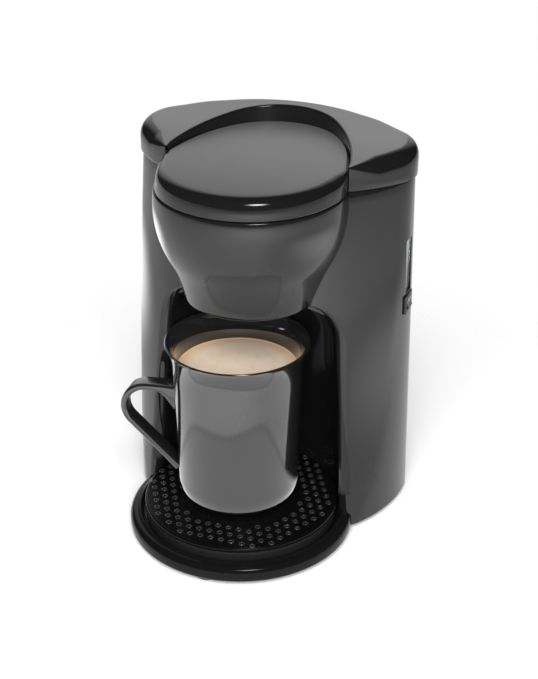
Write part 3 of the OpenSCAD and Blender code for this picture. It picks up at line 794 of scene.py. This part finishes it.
def mapping_node(tree, vector, scale, turn=(0, 0, 0)):
    node = tree.nodes.new("ShaderNodeMapping")
    feed(tree, node.inputs, ("Vector", vector), ("Rotation", turn), ("Scale", scale))
    return node.outputs[0]


def component(tree, vector, axis):
    """One component of a vector, by its number."""
    node = tree.nodes.new("ShaderNodeSeparateXYZ")
    tree.links.new(vector, node.inputs[0])
    return node.outputs[axis]


def object_place(tree):
    return tree.nodes.new("ShaderNodeTexCoord").outputs["Object"]


def source_of(socket):
    """The output that feeds an input now."""
    return socket.links[0].from_socket


def add_sockets(tree, way, *sockets):
    """Named sockets on a group, with a kind and perhaps a value; their identifiers by name."""
    made = {}
    for label, kind, *value in sockets:
        socket = tree.interface.new_socket(label, in_out=way, socket_type="NodeSocket" + kind)
        if value:
            socket.default_value = value[0]
        made[label] = socket.identifier
    return made


# ---------------------------------------------------------------- raised rims round the drip holes

def rim_nodes():
    """Node tree: a ring of moulded rims, one round every drip hole of the plate."""
    tree = bpy.data.node_groups.new("drip_rims", "GeometryNodeTree")
    node, link = tree.nodes.new, tree.links.new
    inputs = add_sockets(tree, "INPUT", ("Geometry", "Geometry"), ("Pitch", "Float", RIM_PITCH),
                         ("Plain Radius", "Float", 0.0325), ("Outer Radius", "Float", 0.05),
                         ("Rim Radius", "Float", 0.0012), ("Rim Height", "Float", 0.00045),
                         ("Across", "Int", 21), ("Level", "Float", PLATE_Z * MM), ("Material", "Material"))
    add_sockets(tree, "OUTPUT", ("Geometry", "Geometry"))
    given = node("NodeGroupInput").outputs
    across, pitch = given["Across"], given["Pitch"]

    def math(operation, *values):
        return math_node(tree, operation, *values)

    # a square field of points, every other row moved by half a pitch
    points = node("GeometryNodePoints")
    link(math("MULTIPLY", across, across), points.inputs["Count"])
    index = node("GeometryNodeInputIndex").outputs[0]
    row = math("FLOOR", math("DIVIDE", math("ADD", index, 0.5), across))
    col = math("SUBTRACT", index, math("MULTIPLY", row, across))
    half = math("FLOOR", math("DIVIDE", across, 2.0))
    j = math("SUBTRACT", row, half)
    i = math("SUBTRACT", col, half)
    odd = math("MULTIPLY", math("FLOORED_MODULO", j, 2.0), 0.5)
    x = math("MULTIPLY", math("SUBTRACT", math("ADD", i, odd), RIM_SHIFT), pitch)
    y = math("MULTIPLY", math("MULTIPLY", j, pitch), RIM_ROWS)
    place = node("ShaderNodeCombineXYZ")
    feed(tree, place.inputs, (0, x), (1, math("ADD", y, RING_Y * MM)), (2, given["Level"]))
    put = node("GeometryNodeSetPosition")
    feed(tree, put.inputs, ("Geometry", points.outputs[0]), ("Position", place.outputs[0]))
    # only the points between the plain middle and the plate's edge carry a rim
    away = math("SQRT", math("ADD", math("MULTIPLY", x, x), math("MULTIPLY", y, y)))
    keep = math("MULTIPLY", math("GREATER_THAN", away, given["Plain Radius"]),
                math("LESS_THAN", away, given["Outer Radius"]))
    circles = []
    for steps, size in ((20, "Rim Radius"), (8, "Rim Height")):
        circle = node("GeometryNodeCurvePrimitiveCircle")
        feed(tree, circle.inputs, ("Resolution", steps), ("Radius", given[size]))
        circles.append(circle.outputs["Curve"])
    tube = node("GeometryNodeCurveToMesh")
    feed(tree, tube.inputs, ("Curve", circles[0]), ("Profile Curve", circles[1]))
    many = node("GeometryNodeInstanceOnPoints")
    feed(tree, many.inputs, ("Points", put.outputs[0]), ("Selection", keep), ("Instance", tube.outputs[0]))
    real = node("GeometryNodeRealizeInstances")
    link(many.outputs[0], real.inputs[0])
    shade = node("GeometryNodeSetShadeSmooth")
    link(real.outputs[0], shade.inputs[0])
    paint = node("GeometryNodeSetMaterial")
    feed(tree, paint.inputs, ("Geometry", shade.outputs[0]), ("Material", given["Material"]))
    link(paint.outputs[0], node("NodeGroupOutput").inputs[0])
    return tree, inputs


def make_rims(material):
    """The rims as a plain mesh."""
    tree, inputs = rim_nodes()
    host = bpy.data.objects.new("rim_host", bpy.data.meshes.new("rim_host"))
    scene.collection.objects.link(host)
    mod = host.modifiers.new("rims", "NODES")
    mod.node_group = tree
    mod[inputs["Pitch"]] = RIM_PITCH
    mod[inputs["Material"]] = material
    bpy.context.view_layer.update()
    mesh = bpy.data.meshes.new_from_object(host.evaluated_get(bpy.context.evaluated_depsgraph_get()))
    bpy.data.objects.remove(host)
    rims = bpy.data.objects.new("drip_rims", mesh)
    scene.collection.objects.link(rims)
    if not mesh.materials:
        mesh.materials.append(material)
    rims["body"] = "machine"
    return rims


# ---------------------------------------------------------------- materials

def variation_group():
    """Shared surface detail: soft colour patches, uneven gloss, fine grain and thin wear marks."""
    tree = bpy.data.node_groups.new("surface_variation", "ShaderNodeTree")
    add_sockets(tree, "INPUT", ("Vector", "Vector"), ("Colour A", "Color"), ("Colour B", "Color"),
                ("Patch Scale", "Float", 30.0), ("Grain Scale", "Float", 900.0), ("Grain", "Float", 0.5),
                ("Rough Low", "Float", 0.1), ("Rough High", "Float", 0.2), ("Marks", "Float", 0.0))
    add_sockets(tree, "OUTPUT", ("Colour", "Color"), ("Roughness", "Float"), ("Height", "Float"))
    given = tree.nodes.new("NodeGroupInput").outputs

    def math(operation, *values):
        return math_node(tree, operation, *values)

    patch = noise_node(tree, given["Vector"], given["Patch Scale"], 4.0)
    grain = noise_node(tree, given["Vector"], given["Grain Scale"], 2.0, 0.6)
    # thin marks where a stretched noise passes through its middle value
    stretched = mapping_node(tree, given["Vector"], (900.0, 60.0, 140.0), (0.4, 0.7, 0.5))
    middle = math("SUBTRACT", noise_node(tree, stretched, 1.0, 1.0), 0.5)
    thin = math("MULTIPLY", math("LESS_THAN", math("ABSOLUTE", middle), 0.006), given["Marks"])
    uneven = math("ADD", math("MULTIPLY", patch, 0.6), math("MULTIPLY", grain, 0.4))
    span = math("SUBTRACT", given["Rough High"], given["Rough Low"])
    rough = math("ADD", given["Rough Low"], math("MULTIPLY", span, uneven))
    height = math("ADD", math("MULTIPLY", grain, given["Grain"]), math("MULTIPLY", patch, 0.35))
    feed(tree, tree.nodes.new("NodeGroupOutput").inputs,
         ("Colour", mix_node(tree, patch, given["Colour A"], given["Colour B"])),
         ("Roughness", math("ADD", rough, math("MULTIPLY", thin, 0.15))),
         ("Height", math("SUBTRACT", height, math("MULTIPLY", thin, 0.3))))
    return tree


VARIATION = variation_group()


def finish(name, dark, light, rough=(0.1, 0.2), patch=30, grain_scale=900, grain=0.5, marks=0.0, bump=0.1,
           distance=0.0002, stretch=None, **shader):
    """A material on the shared detail, with constant values set on the shader itself."""
    mat = bpy.data.materials.new(name)
    mat.use_nodes = True
    tree = mat.node_tree
    place = object_place(tree)
    if stretch:
        place = mapping_node(tree, place, stretch)
    detail = tree.nodes.new("ShaderNodeGroup")
    detail.node_tree = VARIATION
    feed(tree, detail.inputs, ("Vector", place), ("Colour A", (*dark, 1)), ("Colour B", (*light, 1)),
         ("Patch Scale", patch), ("Grain Scale", grain_scale), ("Grain", grain), ("Rough Low", rough[0]),
         ("Rough High", rough[1]), ("Marks", marks))
    relief = tree.nodes.new("ShaderNodeBump")
    feed(tree, relief.inputs, ("Strength", bump), ("Distance", distance),
         ("Height", detail.outputs["Height"]))
    constants = [(label.replace("_", " "), value) for label, value in shader.items()]
    feed(tree, tree.nodes["Principled BSDF"].inputs, ("Base Color", detail.outputs["Colour"]),
         ("Roughness", detail.outputs["Roughness"]), ("Normal", relief.outputs[0]), *constants)
    return mat


def grey(v):
    return (v, v, v)


def gold_mesh():
    """Woven gold wire cloth: two crossing waves raise the wires."""
    mat = finish("gold_mesh", (0.62, 0.4, 0.1), (0.8, 0.56, 0.2), (0.25, 0.4), marks=0.2, Metallic=1.0)
    tree = mat.node_tree
    waves = []
    for direction in ("X", "Z"):
        wave = tree.nodes.new("ShaderNodeTexWave")
        wave.bands_direction = direction
        feed(tree, wave.inputs, ("Scale", 420.0), ("Vector", object_place(tree)))
        waves.append(wave.outputs["Fac"])
    relief = next(n for n in tree.nodes if n.type == "BUMP")
    feed(tree, relief.inputs, ("Strength", 0.6), ("Height", math_node(tree, "MAXIMUM", *waves)))
    return mat


def coffee_surface():
    """Milk coffee: pale froth specks on tan, darker and warmer towards the wall."""
    mat = finish("coffee_surface", (0.82, 0.62, 0.44), (0.96, 0.83, 0.68), (0.3, 0.5), patch=170,
                 grain_scale=1500, grain=0.9, bump=0.35, distance=0.0003)
    tree = mat.node_tree
    base = tree.nodes["Principled BSDF"].inputs["Base Color"]
    middle = (MUG[0] * MM, MUG[1] * MM, (MUG[2] + COFFEE_V) * MM)
    away = vector_node(tree, "DISTANCE", object_place(tree), middle)
    edge = range_node(tree, away, 0.024, 0.0325)
    tree.links.new(mix_node(tree, edge, source_of(base), (0.8, 0.52, 0.3, 1)), base)
    return mat


def lid_gloss():
    """Gloss black whose flat tops are satin and softer than the polished edges, with a painted reflection
    that makes them paler.
    """
    mat = finish("lid_gloss", grey(0.004), grey(0.008), (0.06, 0.12), patch=22, grain_scale=260,
                 grain=0.15, marks=0.25, bump=0.05, Specular_IOR_Level=0.5, Coat_Roughness=0.42)
    tree = mat.node_tree
    bsdf = tree.nodes["Principled BSDF"].inputs
    upright = component(tree, tree.nodes.new("ShaderNodeNewGeometry").outputs["Normal"], 2)
    top = range_node(tree, upright, 0.955, 0.992, shape="SMOOTHSTEP")
    # painted reflection: the flat tops get a paler colour than the edges, a little paler still towards the
    # back, standing in for reflected light
    painted_top_reflection = range_node(tree, component(tree, object_place(tree), 1), -0.04, 0.04, 0.02, 0.115)
    for label, flat, kind in (("Base Color", painted_top_reflection, "RGBA"), ("Roughness", 0.5, "FLOAT")):
        tree.links.new(mix_node(tree, top, source_of(bsdf[label]), flat, kind), bsdf[label])
    tree.links.new(math_node(tree, "MULTIPLY", top, 0.55), bsdf["Coat Weight"])
    return mat


MATERIALS = {}


def stock(name, *look, **values):
    """A finish kept under the name of the material slot it is for."""
    MATERIALS[name] = finish(name, *look, **values)


stock("black_gloss", grey(0.005), grey(0.009), (0.05, 0.11), patch=22, grain_scale=260, grain=0.15,
      marks=0.25, bump=0.05, Specular_IOR_Level=0.5, Coat_Weight=0.15, Coat_Roughness=0.04)
stock("base_plastic", grey(0.012), grey(0.02), (0.32, 0.5), grain_scale=2200, grain=1.0, bump=0.35)
stock("foot_rubber", grey(0.011), grey(0.02), (0.6, 0.8), grain_scale=1600, grain=0.9, bump=0.4)
stock("tray_black", grey(0.010), grey(0.016), (0.14, 0.26), marks=0.2, bump=0.1)
# painted shade: the drip plate's black is darker and less reflective than the other blacks, standing in for
# the shade under the cove
stock("plate_black", grey(0.002), grey(0.003), (0.2, 0.3), patch=50, marks=0.2, bump=0.05,
      Specular_IOR_Level=0.16)
stock("tank_smoke", (0.12, 0.125, 0.13), (0.18, 0.185, 0.19), (0.12, 0.22), bump=0.08,
      Transmission_Weight=0.75, IOR=1.5)
stock("clear_window", (0.8, 0.84, 0.86), (0.88, 0.91, 0.92), (0.05, 0.12), bump=0.04,
      Transmission_Weight=0.85, IOR=1.49)
stock("switch_black", grey(0.012), grey(0.02), (0.3, 0.42), grain_scale=1800, bump=0.25)
stock("rocker_black", grey(0.010), grey(0.016), (0.12, 0.2), marks=0.5, bump=0.1)
stock("pin_steel", (0.45, 0.45, 0.46), (0.6, 0.6, 0.61), (0.2, 0.34), grain_scale=1400, marks=0.6,
      stretch=(0.05, 1, 1), Metallic=1.0)
stock("grey_plastic", grey(0.03), grey(0.05), (0.36, 0.5), grain_scale=1800, bump=0.3)
stock("basket_black", grey(0.015), grey(0.024), (0.28, 0.42), grain_scale=1800, bump=0.25, marks=0.2)
stock("frame_black", grey(0.018), grey(0.03), (0.34, 0.5), grain_scale=1800, bump=0.25)
MATERIALS["gold_mesh"] = gold_mesh()
stock("valve_white", (0.7, 0.7, 0.67), (0.78, 0.78, 0.75), (0.35, 0.5), bump=0.15)
stock("silicone", (0.42, 0.41, 0.38), (0.5, 0.49, 0.46), (0.42, 0.6), grain=0.8, bump=0.2,
      Subsurface_Weight=0.15, Subsurface_Radius=(0.001, 0.001, 0.001))
stock("clip_steel", (0.5, 0.5, 0.5), (0.64, 0.64, 0.65), (0.22, 0.38), marks=0.6, Metallic=1.0)
stock("heater_aluminium", (0.55, 0.56, 0.57), (0.68, 0.69, 0.7), (0.3, 0.48), grain_scale=1200,
      stretch=(0.06, 1, 1), marks=0.3, Metallic=1.0)
stock("bracket_steel", (0.42, 0.42, 0.41), (0.56, 0.56, 0.54), (0.35, 0.5), patch=90, marks=0.3,
      Metallic=1.0)
stock("thermostat_body", (0.34, 0.3, 0.22), (0.46, 0.42, 0.33), (0.45, 0.6), bump=0.25)
stock("fuse_sleeve", (0.66, 0.65, 0.6), (0.76, 0.75, 0.7), (0.5, 0.65), grain_scale=2400, bump=0.4)
stock("terminal_cream", (0.7, 0.66, 0.56), (0.78, 0.75, 0.66), (0.38, 0.5), bump=0.2)
stock("gland_black", grey(0.012), grey(0.02), (0.4, 0.55), grain_scale=1800, bump=0.3)
stock("screw_steel", (0.4, 0.4, 0.41), (0.56, 0.56, 0.57), (0.22, 0.4), marks=0.6, Metallic=1.0)
stock("mug_glaze", grey(0.009), grey(0.014), (0.03, 0.08), patch=40, grain_scale=420, grain=0.3,
      bump=0.06, Specular_IOR_Level=1.0, Coat_Weight=0.9, Coat_Roughness=0.03)
COFFEE = coffee_surface()
LID_GLOSS = lid_gloss()
# painted shade: the base ring gets a darker, less reflective copy of the black gloss, so that it reads
# darker
RING_SHADED_GLOSS = finish("ring_painted_shade", grey(0.003), grey(0.006), (0.06, 0.12), patch=30, grain_scale=260,
                    grain=0.15, marks=0.2, bump=0.05, Specular_IOR_Level=0.16)
# painted highlight: the rims round the drip holes get a paler, glossier copy of the plate's black, so they
# show as bright dots
PIP_GLINT_GLOSS = finish("pip_painted_glint", grey(0.016), grey(0.03), (0.12, 0.2), patch=60, bump=0.05,
                   Specular_IOR_Level=1.0, Coat_Weight=0.8, Coat_Roughness=0.05)


# ---------------------------------------------------------------- pieces on the frame

slots = {entry["node"]: entry["material_slot"] for entry in frame["record"]["subparts"]}
for name, obj in frame["nodes"].items():
    material = MATERIALS[slots[name]]
    if not obj.material_slots:
        obj.data.materials.append(material)
    for place in obj.material_slots:
        place.material = material

column = make_column(MATERIALS["black_gloss"])
head = make_bulb(MATERIALS["black_gloss"])
neck = make_neck(MATERIALS["black_gloss"])
ring = make_ring(RING_SHADED_GLOSS)
crescent = make_crescent(LID_GLOSS)
disc = make_disc(LID_GLOSS)
knuckle = make_knuckle(LID_GLOSS)
cup = make_cup(MATERIALS["mug_glaze"])
grip = make_grip(MATERIALS["mug_glaze"])
drink = make_coffee(COFFEE)
rims = make_rims(PIP_GLINT_GLOSS)

for obj in (column, head, neck, ring, crescent, disc, knuckle, cup, grip, drink, rims):
    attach(obj, obj["body"])
for obj, nodes, slot in ((column, ["column_shell"], "black_gloss"), (head, ["brew_head"], "black_gloss"),
                         (neck, [], "black_gloss"), (ring, ["base_ring"], "black_gloss"),
                         (crescent, ["lid"], "black_gloss"), (disc, [], "black_gloss"),
                         (knuckle, [], "black_gloss"), (cup, ["mug"], "mug_glaze"),
                         (grip, [], "mug_glaze"), (rims, [], "plate_black")):
    if nodes:
        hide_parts(*nodes)


# ---------------------------------------------------------------- stage, light and camera

def flat_sheet(name, width, depth):
    """A flat grid about the origin, linked to the scene."""
    bm = bmesh.new()
    bmesh.ops.create_grid(bm, x_segments=2, y_segments=2, size=0.5)
    mesh = bpy.data.meshes.new(name)
    bm.to_mesh(mesh)
    bm.free()
    for v in mesh.vertices:
        v.co = (v.co.x * width, v.co.y * depth, 0)
    obj = bpy.data.objects.new(name, mesh)
    scene.collection.objects.link(obj)
    return obj


def point_at(obj, place, target, axis):
    """Puts an object at a place, with one of its axes towards a target."""
    obj.location = place
    obj.rotation_euler = (Vector(target) - Vector(place)).to_track_quat(axis, "Y").to_euler()


def make_floor():
    """Pale floor that holds the shadow near the object and fades into the white background."""
    obj = flat_sheet("floor", 6.0, 6.0)
    mat = finish("floor_white", grey(0.955), grey(0.965), (0.7, 0.8), patch=3, bump=0.02,
                 Specular_IOR_Level=0.1)
    tree = mat.node_tree
    bsdf = tree.nodes["Principled BSDF"].inputs
    ray = tree.nodes.new("ShaderNodeLightPath").outputs
    base = mix_node(tree, ray["Is Glossy Ray"], source_of(bsdf["Base Color"]), (*grey(0.88), 1))
    away = vector_node(tree, "LENGTH", object_place(tree))
    fade = range_node(tree, away, 0.1, 0.34, 1.0, 0.0, "SMOOTHSTEP")
    unseen = math_node(tree, "SUBTRACT", 1.0, ray["Is Camera Ray"])
    feed(tree, bsdf, ("Base Color", base), ("Alpha", math_node(tree, "MAXIMUM", fade, unseen)))
    obj.data.materials.append(mat)


# the direction in which the lit backdrop lies, seen from the object
BACKDROP = (-0.289, 0.838, 0.462)


def studio_world():
    """White for the camera; in reflections a lit backdrop behind the object, in a dark room."""
    world = bpy.data.worlds.new("studio")
    world.use_nodes = True
    scene.world = world
    tree = world.node_tree
    way = tree.nodes.new("ShaderNodeTexCoord").outputs["Generated"]
    behind = vector_node(tree, "DOT_PRODUCT", way, BACKDROP)
    backdrop = range_node(tree, behind, 0.72, 0.96, 0.03, 1.0, "SMOOTHSTEP")
    ray = tree.nodes.new("ShaderNodeLightPath").outputs
    light = mix_node(tree, ray["Is Glossy Ray"], (*grey(0.62), 1), backdrop)
    seen = mix_node(tree, ray["Is Camera Ray"], light, (*grey(1), 1))
    tree.links.new(seen, tree.nodes["Background"].inputs["Color"])


def soft_light(name, place, target, size, watts):
    """A lamp seen neither by the camera nor in reflections."""
    lamp = bpy.data.lights.new(name, "AREA")
    lamp.shape = "RECTANGLE"
    lamp.size, lamp.size_y = size
    lamp.energy = watts
    obj = bpy.data.objects.new(name, lamp)
    scene.collection.objects.link(obj)
    point_at(obj, place, target, "-Z")
    obj.visible_camera = False
    obj.visible_glossy = False


def reflector(name, place, target, size, strength, full=0.0):
    """A glowing card seen only in reflections, from its front, and fading out to its edges."""
    obj = flat_sheet(name, *size)
    point_at(obj, place, target, "Z")
    mat = bpy.data.materials.new(name)
    mat.use_nodes = True
    tree = mat.node_tree
    from_middle = vector_node(tree, "DIVIDE", object_place(tree), (size[0] / 2, size[1] / 2, 1))
    fade = range_node(tree, vector_node(tree, "LENGTH", from_middle), full, 1.0, 1.0, 0.0, "SMOOTHERSTEP")
    behind = tree.nodes.new("ShaderNodeNewGeometry").outputs["Backfacing"]
    feed(tree, tree.nodes["Principled BSDF"].inputs, ("Base Color", (0, 0, 0, 1)), ("Specular IOR Level", 0),
         ("Emission Strength", strength), ("Emission Color", fade),
         ("Alpha", math_node(tree, "SUBTRACT", fade, behind, clamp=True)))
    obj.data.materials.append(mat)
    for ray in ("camera", "diffuse", "transmission", "volume_scatter", "shadow"):
        setattr(obj, "visible_" + ray, False)


def make_camera():
    lens = bpy.data.cameras.new("camera")
    lens.sensor_fit = "HORIZONTAL"
    lens.sensor_width = 36
    lens.lens = 93.68
    lens.clip_start = 0.01
    eye = bpy.data.objects.new("camera", lens)
    scene.collection.objects.link(eye)
    eye.matrix_world = Matrix(((0.9455, -0.1506, 0.2886, 0.2218), (0.3256, 0.4375, -0.8382, -0.6164),
                               (0.0, 0.8865, 0.4627, 0.4439), (0, 0, 0, 1)))
    return eye


make_floor()
studio_world()
soft_light("key_softbox", (0.2, -0.8, 0.95), (0, 0, 0.1), (0.6, 0.4), 9.5)
soft_light("low_fill", (0.3, -0.78, 0.44), (0, -0.02, 0.1), (0.35, 0.25), 5.0)
reflector("front_card", (0.44, -0.84, 1.0), (0, 0, 0.17), (0.8, 0.5), 30.0)
reflector("left_card", (-0.3, 0.2, 0.002), (-0.3, 0.2, 1), (0.44, 0.5), 2.6)
reflector("right_card", (0.3, 0.03, 0.002), (0.3, 0.03, 1), (0.56, 0.9), 1.9)
reflector("foot_card", (0.002, -0.056, 0.0205), (0.002, -0.056, 1), (0.2, 0.13), 0.88, 0.8)

scene.camera = make_camera()
scene.view_settings.view_transform = "Standard"
